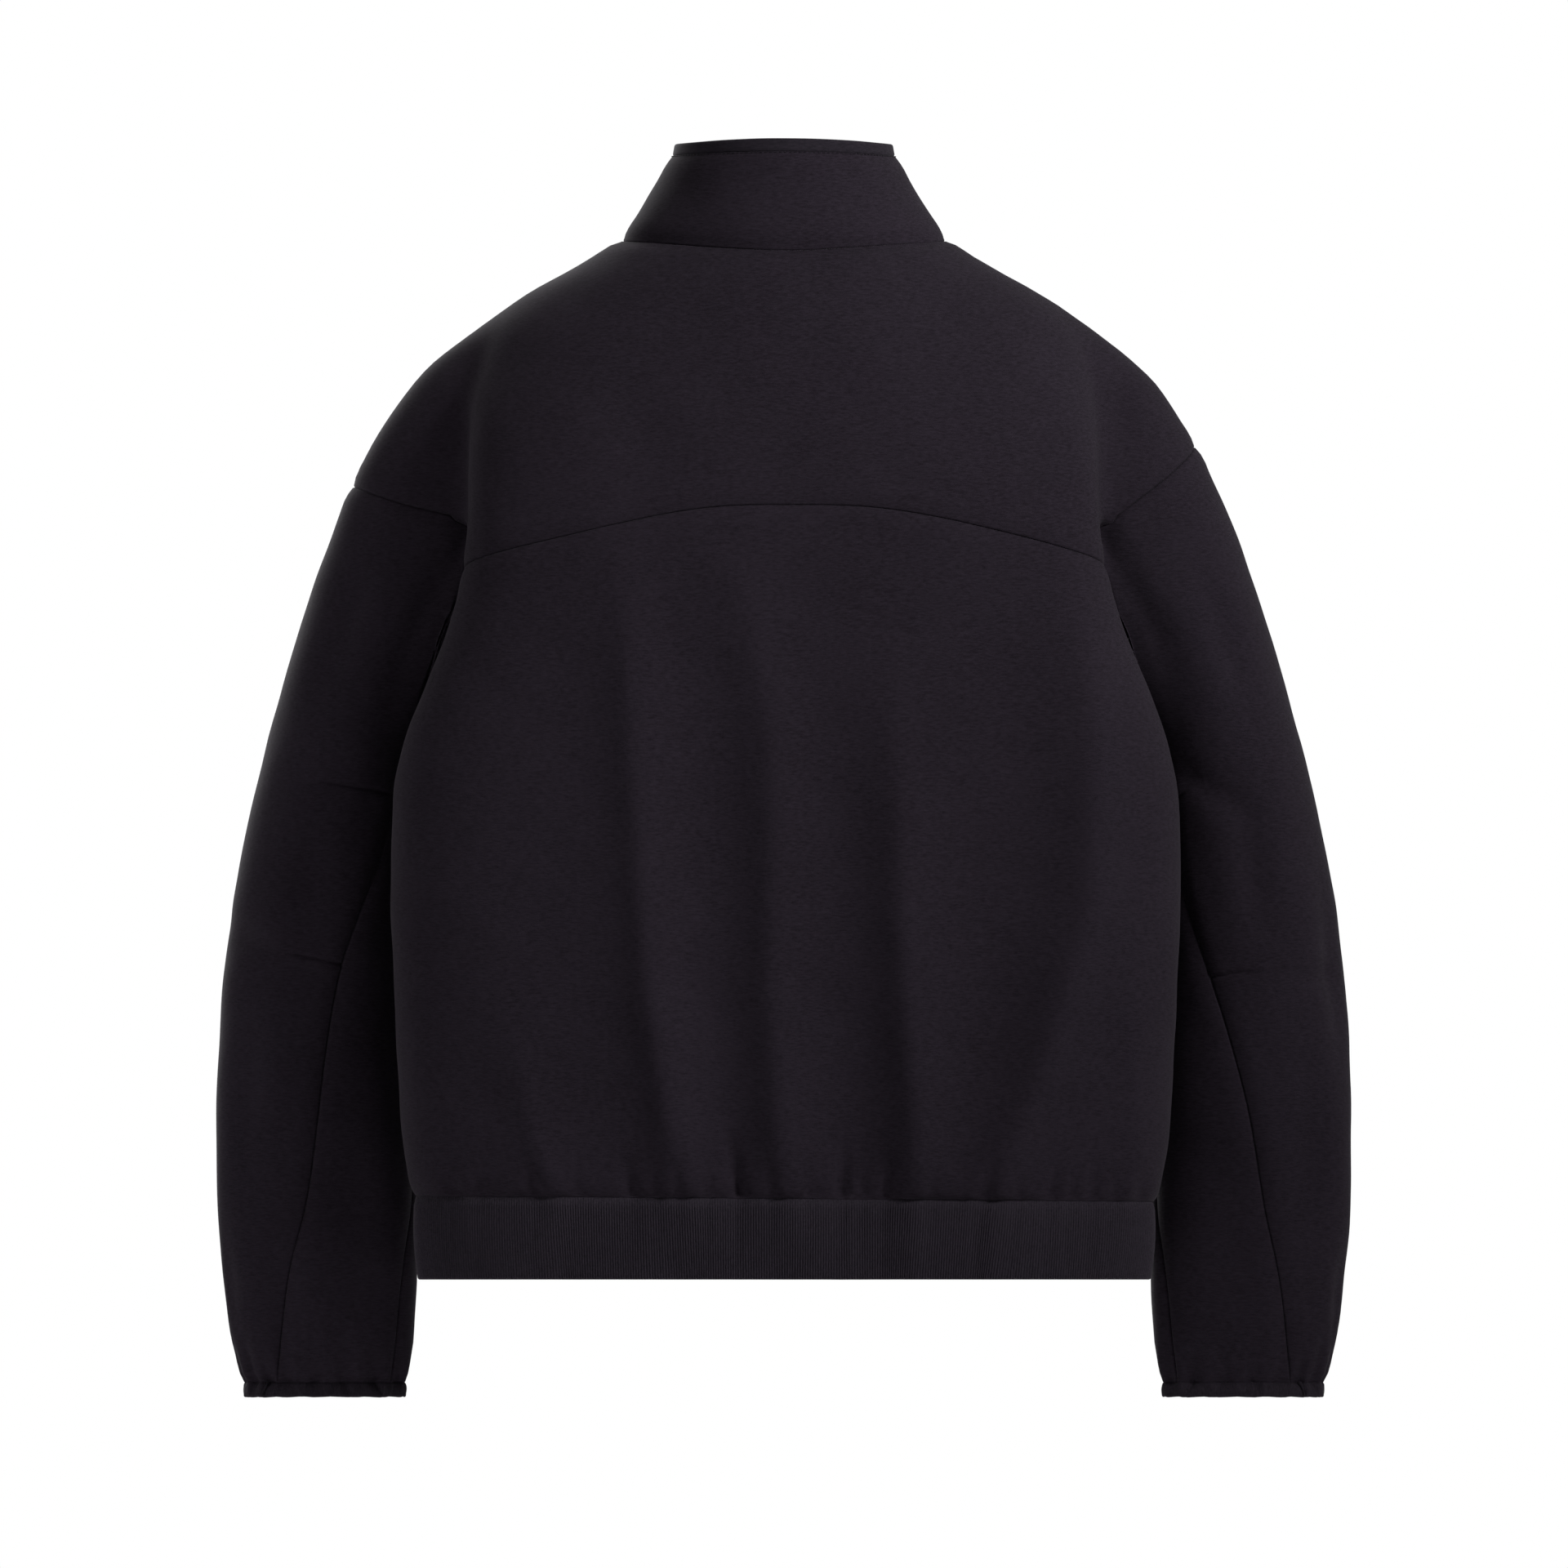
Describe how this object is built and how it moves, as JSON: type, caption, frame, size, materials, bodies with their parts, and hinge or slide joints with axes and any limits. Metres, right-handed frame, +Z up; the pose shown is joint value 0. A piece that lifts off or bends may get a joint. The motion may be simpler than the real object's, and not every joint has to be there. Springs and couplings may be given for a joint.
{
  "type": "stand-collar sweatshirt",
  "caption": "Plain dark stand-collar pullover sweatshirt, filled out as worn but hollow, with a curved back yoke, seamed sleeves, bound cuffs and a deep ribbed hem.",
  "frame": {"origin": "the middle of the neck opening, at the height where the neck seam meets the shoulders, where the wearer's neck and shoulders hold the garment up", "axes": "+Z up along the wearer's neck, +Y towards the wearer's back, +X towards the wearer's left arm"},
  "size_m": [0.6948, 0.2516, 0.7701],
  "materials": {
    "fleece": "brushed dark fleece with a faint cross-grain",
    "rib": "fine upright knitted rib",
    "collar_band": "flat dark knit band",
    "binding": "narrow elastic binding"
  },
  "bodies": {
    "root": {"back_yoke": "fleece", "back_lower": "fleece", "front": "fleece", "collar": "fleece", "collar_top_band": "collar_band", "hem_rib": "rib", "upper_sleeve_left": "fleece", "under_sleeve_left": "fleece", "cuff_binding_left": "binding", "upper_sleeve_right": "fleece", "under_sleeve_right": "fleece", "cuff_binding_right": "binding"}
  },
  "joints": []
}
